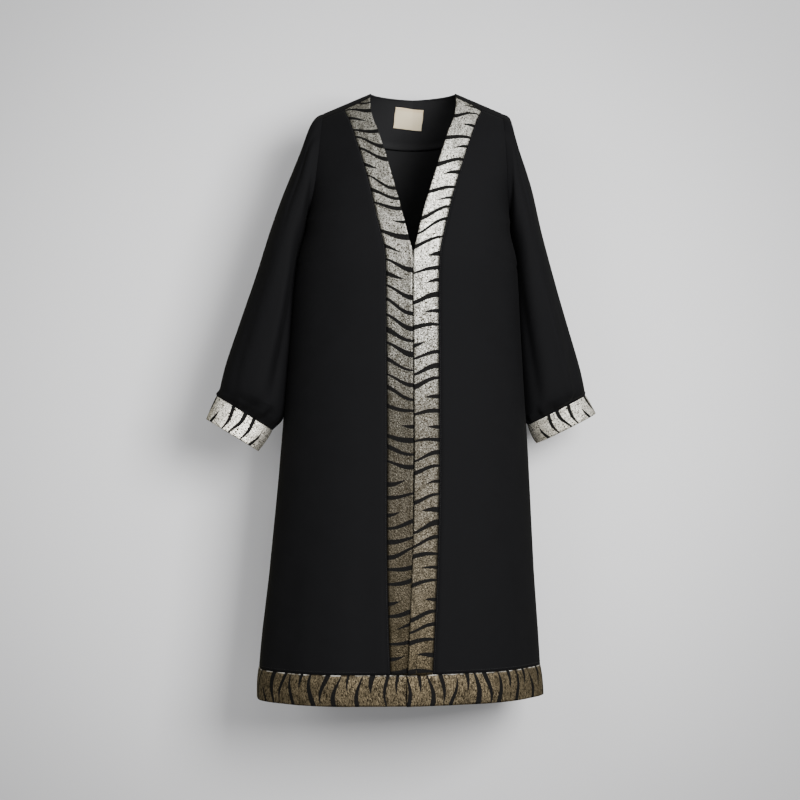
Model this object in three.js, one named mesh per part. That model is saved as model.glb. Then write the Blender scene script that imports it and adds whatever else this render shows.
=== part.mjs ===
// Manteau: an open-front, collarless long coat of black crepe, with borders of metallic cloth on
// both front edges, on the cuffs and round the hem. It keeps the hollow form of a worn garment.
//
// Frame: millimetres, +Z up, the front faces -Y, the wearer's left is +X. The origin is between
// the shoulders, where the garment is held up.
//
// The garment is first laid out as one surface of quads: two front halves, the back, the sleeves
// and the cuffs, which meet along the seams. That surface is then cut into the pieces that a maker
// sews, each is drawn back a little from its seams and given the thickness of its cloth.

import * as THREE from 'three';
import { mergeVertices } from 'three/addons/utils/BufferGeometryUtils.js';

// ---- driving dimensions ----
const WALL = 1.6;                 // folded and seamed cloth
const SEAM_GAP = 0.38;            // between two pieces along a seam
const NECK_HALF = 79;             // half width of the neck at the shoulder
const NECK_Z = 30;                // height of the neck points
const BACK_NECK_Z = 26;           // height of the neckline at centre back
const SHOULDER_HALF = 166;        // centre to the sleeve seam, at the top of the shoulder
const SHOULDER_SLOPE = 0.426;     // fall for each unit outwards
const SHOULDER_ROUND = 150;       // height over which the shoulder rounds into the chest
const UNDERARM_Z = -212;
const UNDERARM_HALF = 190;
const ARMHOLE_LEAN = 16;          // how far the sleeve seam moves out from shoulder to underarm
const ARMHOLE_FRONT = 64;         // depth of the armhole in front of the shoulder line
const ARMHOLE_BACK = 61;
const HEM_Z = -1091;
const HEM_BORDER = 56;
const BORDER = 47;                // width of a front border below the neck
const EDGE_GAP = 0.4;             // half of the gap where the front edges meet
const V_POINT_Z = -282;
const LAP_START_Z = -700;         // below this the wearer's left front passes over the right
const LAP_AT_HEM = 12;            // how far each front then reaches past the centre
const LAP_LIFT = 1.35;            // how far each lapped edge moves out or in to clear the other
const LAP_FADE_Z = [-430, -640];  // the heights and the widths over which it does so
const LAP_FADE_X = [120, 60];

// ---- grid of the surface ----
const ARM_ROWS = 12;              // rows from underarm to shoulder ridge
const SEAM_ROW = 10;              // of these, the row of the forward shoulder seam
const PANEL_COLUMNS = 6;          // side seam to border
const BORDER_COLUMNS = 3;
const NECK_COLUMNS = 5;           // neck point to centre back
const HALF_COLUMNS = PANEL_COLUMNS + BORDER_COLUMNS + NECK_COLUMNS;
const FRONT_COLUMNS = PANEL_COLUMNS + BORDER_COLUMNS;
const BODY_Z = [HEM_Z, HEM_Z + HEM_BORDER, -950, -860, -770, -680, -590, -510, -435, -370, -318,
  V_POINT_Z, -245, UNDERARM_Z];
const UNDERARM_ROW = BODY_Z.length - 1;
const RIDGE_ROW = UNDERARM_ROW + ARM_ROWS;

// Sections of the body below the underarm, and its depth above it. square is the exponent of the
// section's rounding; drift and turn (degrees) are how the hanging cloth shifts and twists.
const BODY_SECTIONS = table(['z', 'half', 'front', 'back', 'square', 'drift', 'turn'], [
  [70, 226, 84, 72, 2.4, 0, 0],
  [20, 226, 92, 82, 2.4, 0, 0],
  [-60, 226, 101, 95, 2.4, -1, 0.5],
  [-130, 226, 112, 104, 2.5, -4, 1.6],
  [UNDERARM_Z, UNDERARM_HALF, 127, 107, 3.1, -10, 3.6],
  [V_POINT_Z, 205, 134, 104, 2.7, -13, 5.0],
  [-345, 212, 131, 101, 2.5, -14.5, 5.6],
  [-460, 219, 127, 102, 2.4, -15, 6.4],
  [-650, 232, 131, 115, 2.3, -16, 7.0],
  [-860, 247, 141, 130, 2.3, -21, 7.7],
  [-1035, 262, 150, 142, 2.3, -25, 8.3],
  [HEM_Z, 267, 153, 146, 2.3, -24, 8.4],
]);

// The free edge of a front and the seam of its border, out from the centre, down to the V point.
const FRONT_EDGES = table(['z', 'edge', 'seam'], [
  [NECK_Z, 79, 131],
  [12, 78.5, 128],
  [-6, 77.5, 126],
  [-26, 73.5, 117],
  [-48, 64.5, 109],
  [-95, 49.5, 94],
  [-150, 33.5, 78],
  [-210, 17, 64],
  [-240, 9.5, 56.5],
  [-265, 3.2, 50.5],
  [V_POINT_Z, EDGE_GAP, BORDER + EDGE_GAP + 1],
  [-326, EDGE_GAP, BORDER + EDGE_GAP],
]);

// Sections of a sleeve, from shoulder to cuff: the point nearest the body, the outermost point,
// the depth in front of and behind the line between them, and how far that line lies back.
const SLEEVE_SECTIONS = table(['inX', 'inZ', 'outX', 'outZ', 'front', 'back', 'lie'], [
  [UNDERARM_HALF, UNDERARM_Z, SHOULDER_HALF, -7, ARMHOLE_FRONT, ARMHOLE_BACK, 0],
  [193, -215.5, 182, -15, 68, 64, 1],
  [194.5, -224, 196, -38, 71, 68, 3],
  [197.5, -243, 210, -80, 73, 71, 5],
  [204.5, -284, 234.5, -151, 74, 73, 8],
  [208.5, -342, 255, -225, 74, 74, 10],
  [212, -400, 278, -312, 72, 73, 11],
  [215.5, -460, 305, -395, 68, 70, 11],
  [220, -520, 329, -468, 62, 64, 10],
  [223, -558, 338, -508, 56, 57, 9],
  [227, -579, 340.5, -525, 44, 41, 8],
  [238, -593, 341, -533, 28, 26, 7],
  [248, -613, 351, -553, 27, 25, 6],
  [259, -632, 362, -573, 28, 26, 5],
]);
const CUFF_SECTION = 11;          // the row of the table where the cuff is sewn on
// Stations along a sleeve, as positions in the table above.
const SLEEVE_STATIONS = [0, 0.5, 1, 1.5, 2, 3, 4, 5, 6, 7, 8, 8.6, 9.2, 9.7, 10.2, 10.6, CUFF_SECTION];
const CUFF_STATIONS = [CUFF_SECTION, 12, 13];
// Each sleeve's cloth is two solids that meet at the elbow, because a shorter tube is simpler.
const ELBOW_STATION = 6;
const SLEEVE_REST = 2.2;          // a sleeve lies this close along the side of the body

// The two sleeves hang a little differently: how much further out each reaches at a height.
const SLEEVE_REACH = table(['z', 'right', 'left'], [
  [-7, 0, 0], [-40, -1, -8], [-110, -1, -7], [-225, 0, -3], [-312, 1, 2], [-395, 1.5, 1],
  [-468, 2, 0], [-533, 4, 2], [-580, 3, 1], [-640, 9, -2],
]);
const REACH_STATIONS = [9.3, CUFF_SECTION];   // the inner line follows only near the cuff
// The mouth of a cuff is drawn back along the arm and swung behind it by this much.
const CUFF_LIFT = { right: -3, left: 7 };
const CUFF_BACK = { right: 0, left: 11 };
// How a cuff's ends are set off, outwards and up: each end at the seam, then at the mouth.
const CUFF_SET = {
  right: { inner: [[4.5, -5.5], [5.5, -1.5]], outer: [[6, -1.5], [4.5, -1.5]] },
  left: { inner: [[-4.5, 4], [-4.5, 1.5]], outer: [[2, 0], [3, -1.5]] },
};

// The largest folds of a sleeve: the column that each follows, the stations where it starts and
// ends, and how far it moves the cloth out, or in where it is negative.
const SLEEVE_FOLDS = table(['side', 'column', 'from', 'to', 'depth'], [
  ['right', 4, 4, 9, -8], ['right', 9, 0.4, 5, -4.5], ['right', 11, 0.4, 3.4, -4],
  ['right', 14, 0.4, 3.8, -4], ['right', 17, 1, 6, -4], ['right', 21, 5, 9.4, -6],
  ['left', 4, 5, 9.4, -5], ['left', 8, 0.4, 4, -4], ['left', 10, 0.4, 4.4, -4.5],
  ['left', 13, 0.4, 3.4, -4], ['left', 16, 1, 5.4, -4], ['left', 20, 4.6, 9, -6],
]);
const GATHER_DEPTH = 3.2;         // alternate in and out, where the sleeve is gathered to the cuff
const GATHER_STATIONS = [8.8, 10.9];

// ---- black crepe, metallic cloth and label ----
const crepe = () => new THREE.MeshStandardMaterial({ color: 0x1b1b1d, roughness: 0.85, metalness: 0 });
const lame = () => new THREE.MeshStandardMaterial({ color: 0x8f8a7c, roughness: 0.4, metalness: 0.7 });
const satin = () => new THREE.MeshStandardMaterial({ color: 0xe6d9c2, roughness: 0.6, metalness: 0 });

// ---- helpers for tables ----
function table(names, rows) {
  return rows.map((row) => Object.fromEntries(names.map((name, i) => [name, row[i]])));
}

// A smooth curve through the values of one column, at a position counted in rows.
function smoothAt(rows, name, position) {
  const last = rows.length - 1;
  const i = Math.min(Math.max(Math.floor(position), 0), last - 1);
  const t = Math.min(Math.max(position - i, 0), 1);
  const [a, b, c, d] = [i - 1, i, i + 1, i + 2].map((k) => rows[Math.min(Math.max(k, 0), last)][name]);
  return 0.5 * (2 * b + (c - a) * t + (2 * a - 5 * b + 4 * c - d) * t * t
    + (3 * b - a - 3 * c + d) * t * t * t);
}

// The same for tables whose rows run downwards in z.
function positionAt(rows, z) {
  let i = 0;
  while (i < rows.length - 2 && rows[i + 1].z > z) i += 1;
  return i + Math.min(Math.max((rows[i].z - z) / (rows[i].z - rows[i + 1].z), 0), 1);
}
const bodyAt = (name, z) => smoothAt(BODY_SECTIONS, name, positionAt(BODY_SECTIONS, z));
const edgeAt = (name, z) => smoothAt(FRONT_EDGES, name, positionAt(FRONT_EDGES, z));
function smoothstep(from, to, x) {
  const t = THREE.MathUtils.clamp((x - from) / (to - from), 0, 1);
  return t * t * (3 - 2 * t);
}

// ---- the form of the body ----
const ridge = (x) => NECK_Z - SHOULDER_SLOPE * (Math.abs(x) - NECK_HALF);

// How far the surface has come forward or back at a distance below the shoulder ridge, 0 to 1.
const shoulderRound = (below) => Math.sqrt(1 - (1 - Math.min(below / SHOULDER_ROUND, 1)) ** 2);

// Each row is a curve across the garment: level below the underarm, and above it spread evenly
// round the armhole, so that the last row lies on the shoulder ridge. half is the half width of
// the section that passes through the row's outer end.
const LARGEST_SHARE = 0.9;        // of the section's depth that an armhole may reach
const RIDGE_SHARE = 0.76;         // the same on the ridge, where the section has no depth
function makeRow(j, face) {
  const depthName = face < 0 ? 'front' : 'back';
  if (j <= UNDERARM_ROW) {
    const z = BODY_Z[j];
    return { height: () => z, outer: bodyAt('half', z), half: bodyAt('half', z),
      square: bodyAt('square', z), depthName };
  }
  const angle = Math.PI * (j - UNDERARM_ROW) / ARM_ROWS;
  const drop = (1 + Math.cos(angle)) / 2;
  const height = (x) => {
    const top = face > 0 && Math.abs(x) < NECK_HALF ? neckHeight(x) : ridge(x);
    return top + (UNDERARM_Z - top) * drop;
  };
  const outer = SHOULDER_HALF + ARMHOLE_LEAN * drop
    + (UNDERARM_HALF - SHOULDER_HALF - ARMHOLE_LEAN) * drop ** 6;
  const z = height(outer);
  const square = bodyAt('square', z);
  const reach = (face < 0 ? ARMHOLE_FRONT : ARMHOLE_BACK) * Math.sin(angle);
  const full = bodyAt(depthName, z) * shoulderRound(ridge(outer) - z);
  const share = full > 0 ? Math.min(reach / full, LARGEST_SHARE) : RIDGE_SHARE;
  const half = outer / (1 - share ** square) ** (1 / square);
  return { height, outer, half, square, depthName };
}

// The back neckline, nearly level between the neck points.
const neckHeight = (x) => BACK_NECK_Z + (NECK_Z - BACK_NECK_Z) * (x / NECK_HALF) ** 2;

function bodyPoint(row, x, face) {
  const z = row.height(x);
  const across = (1 - Math.min(Math.abs(x) / row.half, 1) ** row.square) ** (1 / row.square);
  const y = face * bodyAt(row.depthName, z) * shoulderRound(ridge(x) - z) * across;
  return new THREE.Vector3(x, y, z);
}

// The hanging cloth drifts to one side and turns a little, more towards the hem.
function hang(p) {
  const turn = THREE.MathUtils.degToRad(bodyAt('turn', p.z));
  const x = p.x * Math.cos(turn) - p.y * Math.sin(turn) + bodyAt('drift', p.z);
  const y = p.x * Math.sin(turn) + p.y * Math.cos(turn);
  return new THREE.Vector3(x, y, p.z);
}

// How far a front reaches past the centre at a height, near the hem.
const lapAt = (z) => LAP_AT_HEM * Math.max((LAP_START_Z - z) / (LAP_START_Z - HEM_Z), 0) ** 1.7;

// Where a row crosses the free edge and the border seam of a front, found by repetition.
const RAIL_ROUNDS = 12;
function frontRails(row) {
  const find = (name) => {
    let x = edgeAt(name, row.height(NECK_HALF));
    for (let k = 0; k < RAIL_ROUNDS; k += 1) x = edgeAt(name, row.height(x));
    return x - lapAt(row.height(x));
  };
  return { edge: find('edge'), seam: find('seam') };
}

// Closer columns where the section turns towards the side seam.
const crowd = (fraction) => Math.sin(fraction * Math.PI / 2) ** 0.87;

function frontColumns(row) {
  const { edge, seam } = frontRails(row);
  const xs = [];
  for (let i = 0; i <= PANEL_COLUMNS; i += 1) {
    xs.push(seam + (row.outer - seam) * crowd(1 - i / PANEL_COLUMNS));
  }
  for (let i = 1; i <= BORDER_COLUMNS; i += 1) xs.push(seam + (edge - seam) * i / BORDER_COLUMNS);
  return xs;
}

// The back's columns match the fronts' on the shoulder ridge, and spread evenly lower down.
function backColumns(row, j) {
  const top = frontColumns(makeRow(RIDGE_ROW, -1));
  for (let i = 1; i <= NECK_COLUMNS; i += 1) top.push(NECK_HALF * (1 - i / NECK_COLUMNS));
  const share = j <= UNDERARM_ROW ? 0 : smoothstep(UNDERARM_ROW, RIDGE_ROW, j);
  return top.map((x, i) => {
    if (i === 0) return row.outer;
    return THREE.MathUtils.lerp(row.outer * crowd(1 - i / HALF_COLUMNS), x, share);
  });
}

// One half of the front, from side seam to free edge; side is -1 for the wearer's right.
function frontGrid(side) {
  const grid = [];
  for (let j = 0; j <= RIDGE_ROW; j += 1) {
    const row = makeRow(j, -1);
    grid.push(frontColumns(row).map((x) => {
      const p = bodyPoint(row, Math.abs(x), -1);
      const lift = smoothstep(...LAP_FADE_Z, p.z) * smoothstep(...LAP_FADE_X, x) * LAP_LIFT;
      return hang(new THREE.Vector3(side * x, p.y - side * lift, p.z));
    }));
  }
  return grid;
}

function backGrid() {
  const grid = [];
  for (let j = 0; j <= RIDGE_ROW; j += 1) {
    const row = makeRow(j, 1);
    const half = backColumns(row, j).map((x) => bodyPoint(row, x, 1));
    const rightHalf = half.map((p) => new THREE.Vector3(-p.x, p.y, p.z));
    const leftHalf = half.slice(0, -1).reverse();
    grid.push([...rightHalf, ...leftHalf].map(hang));
  }
  return grid;
}

// ---- sleeves ----
// The armhole is the outer edge of a front and of the back, from the underarm up the front, over
// the ridge and down the back.
function armholeLoop(front, back, side) {
  const backColumn = side < 0 ? 0 : 2 * HALF_COLUMNS;
  const loop = [];
  for (let c = 0; c <= ARM_ROWS; c += 1) loop.push(front[UNDERARM_ROW + c][0]);
  for (let c = ARM_ROWS - 1; c > 0; c -= 1) loop.push(back[UNDERARM_ROW + c][backColumn]);
  return loop;
}

function sleeveFold(sideName, column, station) {
  let depth = 0;
  for (const fold of SLEEVE_FOLDS) {
    if (fold.side !== sideName || fold.column !== column) continue;
    const along = (station - fold.from) / (fold.to - fold.from);
    if (along > 0 && along < 1) depth += fold.depth * Math.sin(Math.PI * along) ** 0.7;
  }
  const [from, to] = GATHER_STATIONS;
  const gathered = (station - from) / (to - from);
  if (gathered > 0 && gathered < 1) {
    depth += (column % 2 ? 1 : -1) * GATHER_DEPTH * Math.sin(Math.PI * gathered);
  }
  return depth;
}

function sleeveRing(sideName, station) {
  const side = sideName === 'right' ? -1 : 1;
  const at = (name) => smoothAt(SLEEVE_SECTIONS, name, station);
  const reachAt = (z) => smoothAt(SLEEVE_REACH, sideName, positionAt(SLEEVE_REACH, z));
  const cuffShare = smoothstep(...REACH_STATIONS, station);
  const mouth = Math.max(station - CUFF_SECTION, 0) / 2;
  const inner = new THREE.Vector3(at('inX') + reachAt(at('inZ')) * cuffShare, 0, at('inZ'));
  const outer = new THREE.Vector3(at('outX') + reachAt(at('outZ')), 0, at('outZ'));
  for (const [end, name] of [[inner, 'inner'], [outer, 'outer']]) {
    const [seam, rim] = CUFF_SET[sideName][name];
    end.x += THREE.MathUtils.lerp(seam[0], rim[0], mouth) * cuffShare;
    end.z += THREE.MathUtils.lerp(seam[1], rim[1], mouth) * cuffShare;
  }
  const middle = inner.clone().add(outer).multiplyScalar(0.5);
  const ring = [];
  for (let c = 0; c < 2 * ARM_ROWS; c += 1) {
    const angle = Math.PI * c / ARM_ROWS;
    const depth = Math.sin(angle) > 0 ? at('front') : at('back');
    const p = middle.clone().addScaledVector(inner.clone().sub(middle), Math.cos(angle));
    p.y = at('lie') - depth * Math.sin(angle) + CUFF_BACK[sideName] * mouth;
    p.z += CUFF_LIFT[sideName] * mouth;
    const away = p.clone().sub(middle).normalize();
    p.addScaledVector(away, sleeveFold(sideName, c, station));
    p.x = Math.max(p.x, bodySide(p.y, p.z) + SLEEVE_REST);
    ring.push(hang(new THREE.Vector3(side * p.x, p.y, p.z)));
  }
  return ring;
}

// How far the side of the body stands out, below the underarm.
function bodySide(y, z) {
  if (z > UNDERARM_Z) return 0;
  const share = Math.min(Math.abs(y) / bodyAt(y < 0 ? 'front' : 'back', z), 1);
  return bodyAt('half', z) * (1 - share ** bodyAt('square', z)) ** (1 / bodyAt('square', z));
}

// ---- the whole surface, cut into pieces ----
class Surface {
  constructor() {
    this.points = [];
    this.known = new Map();
    this.quads = [];
  }

  vertex(p) {
    const key = [p.x, p.y, p.z].map((v) => Math.round(v * 1000) + 0).join(' ');
    if (!this.known.has(key)) {
      this.known.set(key, this.points.length);
      this.points.push(p);
    }
    return this.known.get(key);
  }

  // Corners run anticlockwise, seen from outside.
  add(piece, corners, flip) {
    const quad = corners.map((p) => this.vertex(p));
    this.quads.push({ piece, quad: flip ? quad.reverse() : quad });
  }

  // Rows of points, with quads between them; nameOf gives the piece for each quad, or null.
  addGrid(grid, nameOf, flip) {
    for (let j = 0; j + 1 < grid.length; j += 1) {
      for (let i = 0; i + 1 < grid[j].length; i += 1) {
        const name = nameOf(j, i);
        if (!name) continue;
        this.add(name, [grid[j][i], grid[j][i + 1], grid[j + 1][i + 1], grid[j + 1][i]], flip);
      }
    }
  }

  // Each face counts by its angle at the point, so that a seam's rim halves the angle of its fold.
  normals() {
    const normals = this.points.map(() => new THREE.Vector3());
    for (const { quad } of this.quads) {
      quad.forEach((k, i) => {
        const next = this.points[quad[(i + 1) % 4]].clone().sub(this.points[k]);
        const last = this.points[quad[(i + 3) % 4]].clone().sub(this.points[k]);
        const n = new THREE.Vector3().crossVectors(next, last).normalize();
        normals[k].addScaledVector(n, next.angleTo(last));
      });
    }
    return normals.map((n) => n.normalize());
  }

  edgeCounts() {
    const counts = new Map();
    for (const { quad } of this.quads) {
      quad.forEach((a, k) => {
        const key = edgeKey(a, quad[(k + 1) % 4]);
        counts.set(key, (counts.get(key) ?? 0) + 1);
      });
    }
    return counts;
  }

  // A closed wall for one piece: its outer face, the same moved in by the wall, and the rim.
  wall(piece, thickness) {
    const quads = this.quads.filter((q) => q.piece === piece).map((q) => q.quad);
    const normals = this.normals();
    const all = this.edgeCounts();
    const own = new Map();
    quads.forEach((quad) => quad.forEach((a, k) => {
      const key = edgeKey(a, quad[(k + 1) % 4]);
      own.set(key, (own.get(key) ?? 0) + 1);
    }));
    const rim = [];
    const inwards = new Map();
    for (const quad of quads) {
      const centre = quad.reduce((sum, k) => sum.add(this.points[k]), new THREE.Vector3()).divideScalar(4);
      quad.forEach((a, k) => {
        const b = quad[(k + 1) % 4];
        const key = edgeKey(a, b);
        if (own.get(key) !== 1) return;
        rim.push([a, b]);
        if (all.get(key) !== 2) return;
        const along = this.points[b].clone().sub(this.points[a]).normalize();
        const inward = centre.clone().sub(this.points[a]);
        inward.addScaledVector(along, -inward.dot(along)).normalize();
        for (const end of [a, b]) inwards.set(end, [...(inwards.get(end) ?? []), inward]);
      });
    }
    const outer = new Map();
    const inner = new Map();
    for (const k of new Set(quads.flat())) {
      const p = this.points[k].clone().add(drawBack(inwards.get(k) ?? []));
      outer.set(k, p);
      inner.set(k, p.clone().addScaledVector(normals[k], -thickness));
    }
    const triangles = [];
    for (const quad of quads) {
      const [a, b, c, d] = quad.map((k) => outer.get(k));
      const [e, f, g, h] = quad.map((k) => inner.get(k));
      triangles.push(a, b, c, a, c, d, e, g, f, e, h, g);
    }
    for (const [a, b] of rim) {
      triangles.push(outer.get(a), inner.get(a), inner.get(b), outer.get(a), inner.get(b), outer.get(b));
    }
    return solid(triangles);
  }
}

const edgeKey = (a, b) => (a < b ? `${a} ${b}` : `${b} ${a}`);

// Half the seam gap, measured square to each of the seams that meet at a point.
function drawBack(inwards) {
  if (inwards.length === 0) return new THREE.Vector3();
  if (inwards.length === 1) return inwards[0].clone().multiplyScalar(SEAM_GAP / 2);
  const [m, n] = inwards;
  return m.clone().add(n).multiplyScalar(SEAM_GAP / 2 / Math.max(1 + m.dot(n), 0.3));
}

function solid(triangles) {
  const geometry = new THREE.BufferGeometry();
  const position = new Float32Array(triangles.flatMap((p) => [p.x, p.y, p.z]));
  geometry.setAttribute('position', new THREE.BufferAttribute(position, 3));
  const merged = mergeVertices(geometry, 1e-3);
  merged.computeVertexNormals();
  return merged;
}

function layOut() {
  const surface = new Surface();
  const back = backGrid();
  surface.addGrid(back, (j) => (j < 1 ? 'hem_border_back' : 'back'), true);
  for (const [sideName, side] of [['right', -1], ['left', 1]]) {
    const front = frontGrid(side);
    const seamRow = UNDERARM_ROW + SEAM_ROW;
    surface.addGrid(front, (j, i) => {
      if (j < 1) return `hem_border_${sideName}`;
      if (j >= seamRow) return 'back';
      return i < PANEL_COLUMNS ? `front_${sideName}` : `front_border_${sideName}`;
    }, side > 0);
    const rings = SLEEVE_STATIONS.map((s) => sleeveRing(sideName, s));
    rings[0] = armholeLoop(front, back, side);
    const cuffRings = CUFF_STATIONS.map((s) => sleeveRing(sideName, s));
    const elbow = SLEEVE_STATIONS.indexOf(ELBOW_STATION);
    for (const [loops, nameOf] of [
      [rings, (j) => `sleeve_${sideName}_${j < elbow ? 'upper' : 'lower'}`],
      [cuffRings, () => `cuff_${sideName}`],
    ]) {
      surface.addGrid(loops.map((loop) => [...loop, loop[0]]), nameOf, side > 0);
    }
  }
  return { surface, back };
}

// ---- what shows inside the neck ----
const FACING_WALL = 1.2;
const FACING_ROWS = 6;
const FACING_GAP = 0.75;          // to the back, which is tightly curved at the neck points
const FACING_COLUMNS = [7, 2 * HALF_COLUMNS - 7];
// The facing's lower edge, in rows of the armhole: deepest at centre back.
const FACING_LOW_ROW = 6.9;
const FACING_RISE = 1.5;

const LABEL = { width: 55, height: 37.5, x: -8, z: -6.4, tilt: -6, wall: 1, columns: 5, rows: 3 };
const LABEL_REST = 0.8;           // the facing's flats stand this far inside the true curve

function movedIn(surface, normals, p, distance) {
  return p.clone().addScaledVector(normals[surface.vertex(p)], -distance);
}

// The facing lies on the back's own points, moved in.
function neckFacing(surface, back) {
  const [from, to] = FACING_COLUMNS;
  const normals = surface.normals();
  const grid = [];
  for (let r = 0; r <= FACING_ROWS; r += 1) {
    const line = [];
    for (let i = from; i <= to; i += 1) {
      const out = Math.abs(i - HALF_COLUMNS) / (HALF_COLUMNS - from);
      const low = FACING_LOW_ROW + FACING_RISE * out ** 2;
      const at = UNDERARM_ROW + low + (ARM_ROWS - low) * r / FACING_ROWS;
      const j = Math.min(Math.floor(at), RIDGE_ROW - 1);
      const [a, b] = [j, j + 1].map((k) => movedIn(surface, normals, back[k][i], WALL + FACING_GAP));
      line.push(a.lerp(b, at - j));
    }
    grid.push(line);
  }
  const facing = new Surface();
  facing.addGrid(grid, () => 'neck_facing', true);
  return facing.wall('neck_facing', FACING_WALL);
}

function neckLabel() {
  const { width, height, columns, rows } = LABEL;
  const tilt = THREE.MathUtils.degToRad(LABEL.tilt);
  const depth = WALL + FACING_GAP + FACING_WALL + SEAM_GAP + LABEL_REST;
  const place = (x, z) => {
    const row = { height: () => z, half: bodyAt('half', z), square: bodyAt('square', z), depthName: 'back' };
    return bodyPoint(row, x, 1);
  };
  const grid = [];
  for (let r = 0; r <= rows; r += 1) {
    const line = [];
    for (let i = 0; i <= columns; i += 1) {
      const u = (i / columns - 0.5) * width;
      const v = (r / rows - 0.5) * height;
      const x = LABEL.x + u * Math.cos(tilt) - v * Math.sin(tilt);
      const z = LABEL.z + u * Math.sin(tilt) + v * Math.cos(tilt);
      const p = place(x, z);
      const side = place(x + 1, z).sub(p);
      const up = place(x, z + 1).sub(p);
      p.addScaledVector(side.cross(up).normalize(), depth);
      line.push(hang(p));
    }
    grid.push(line);
  }
  const label = new Surface();
  label.addGrid(grid, () => 'neck_label', true);
  return label.wall('neck_label', LABEL.wall);
}

// ---- the model ----
const { surface, back } = layOut();
const manteau = new THREE.Group();

function addPiece(name, geometry, material) {
  const mesh = new THREE.Mesh(geometry, material);
  mesh.name = name;
  manteau.add(mesh);
}

const panels = ['back', 'front_right', 'front_left', 'sleeve_right_upper', 'sleeve_right_lower',
  'sleeve_left_upper', 'sleeve_left_lower'];
for (const name of panels) {
  addPiece(name, surface.wall(name, WALL), crepe());
}
const borders = ['front_border_right', 'front_border_left', 'hem_border_right', 'hem_border_left',
  'hem_border_back', 'cuff_right', 'cuff_left'];
for (const name of borders) addPiece(name, surface.wall(name, WALL), lame());
addPiece('neck_facing', neckFacing(surface, back), crepe());
addPiece('neck_label', neckLabel(), satin());

export default manteau;
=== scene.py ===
"""A manteau: a long open-front coat without a collar, of black crepe, with bands of tiger-striped
metallic cloth down both fronts, on the cuffs and round the hem. It keeps the form of a worn coat.

Metres, +Z up, the front faces -Y and the wearer's left is +X. The sections follow the making:
the back, the fronts, the sleeves, the bands, the cuffs, the hem, the neck, the stitching, and
then the studio.
"""

import math
from functools import partial

import bmesh
import bpy
import numpy as np
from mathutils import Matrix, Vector


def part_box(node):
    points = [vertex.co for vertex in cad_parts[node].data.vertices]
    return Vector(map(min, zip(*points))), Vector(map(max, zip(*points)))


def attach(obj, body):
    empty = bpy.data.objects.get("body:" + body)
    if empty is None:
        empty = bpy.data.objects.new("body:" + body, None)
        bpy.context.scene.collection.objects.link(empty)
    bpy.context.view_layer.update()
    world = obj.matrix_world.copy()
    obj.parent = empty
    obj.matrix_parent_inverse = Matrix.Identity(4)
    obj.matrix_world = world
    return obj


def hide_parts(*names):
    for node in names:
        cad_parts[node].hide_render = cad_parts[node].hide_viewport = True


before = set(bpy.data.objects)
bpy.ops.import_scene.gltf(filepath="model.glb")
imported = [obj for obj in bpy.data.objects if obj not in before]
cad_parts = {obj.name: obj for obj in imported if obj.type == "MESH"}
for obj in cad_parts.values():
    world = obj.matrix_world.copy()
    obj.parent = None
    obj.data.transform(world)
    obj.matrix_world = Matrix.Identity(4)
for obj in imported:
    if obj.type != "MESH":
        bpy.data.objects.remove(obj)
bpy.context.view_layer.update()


# ---- Back --------------------------------------------------------------------------------------
# The back is one length of crepe with the neck cut nearly level. It runs over the shoulders to a
# seam on the front side, so the shoulder seams do not sit on the ridge. It hangs from there.

MM = 0.001
NECK_HALF = 0.079                 # half width of the neck at the shoulder
NECK_Z = 0.030
BACK_NECK_Z = 0.026
SHOULDER_HALF = 0.166
SHOULDER_SLOPE = 0.426
SHOULDER_ROUND = 0.150            # height over which the shoulder rounds into the chest
UNDERARM_Z = -0.212
UNDERARM_HALF = 0.190
ARMHOLE_LEAN = 0.016
ARMHOLE_DEPTH = {-1: 0.064, 1: 0.061}    # in front (-1) and behind (1)
LARGEST_SHARE, RIDGE_SHARE = 0.9, 0.76
HEM_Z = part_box("hem_border_back")[0][2]
HEM_BORDER = 0.056
BORDER_SEAM_Z = HEM_Z + HEM_BORDER
SEAM_LEVEL = 10 / 12              # the forward shoulder seam, as a share of the armhole's height
CREPE_WALL = 0.0011

# Sections of the hanging body. square is the exponent of the section's rounding, drift and turn
# (degrees) are how the cloth shifts and twists as it hangs. Lengths in millimetres.
BODY_SECTIONS = {
    "z": [70, 20, -60, -130, -212, -282, -345, -460, -650, -860, -1035, -1091],
    "half": [226, 226, 226, 226, 190, 205, 212, 219, 232, 247, 262, 267],
    -1: [84, 92, 101, 112, 127, 134, 131, 127, 131, 141, 150, 153],
    1: [72, 82, 95, 104, 107, 104, 101, 102, 115, 130, 142, 146],
    "square": [2.4, 2.4, 2.4, 2.5, 3.1, 2.7, 2.5, 2.4, 2.3, 2.3, 2.3, 2.3],
    "drift": [0, 0, -1, -4, -10, -13, -14.5, -15, -16, -21, -25, -24],
    "turn": [0, 0, 0.5, 1.6, 3.6, 5.0, 5.6, 6.4, 7.0, 7.7, 8.3, 8.4],
}
PLAIN_NUMBERS = ("square", "turn")

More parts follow.
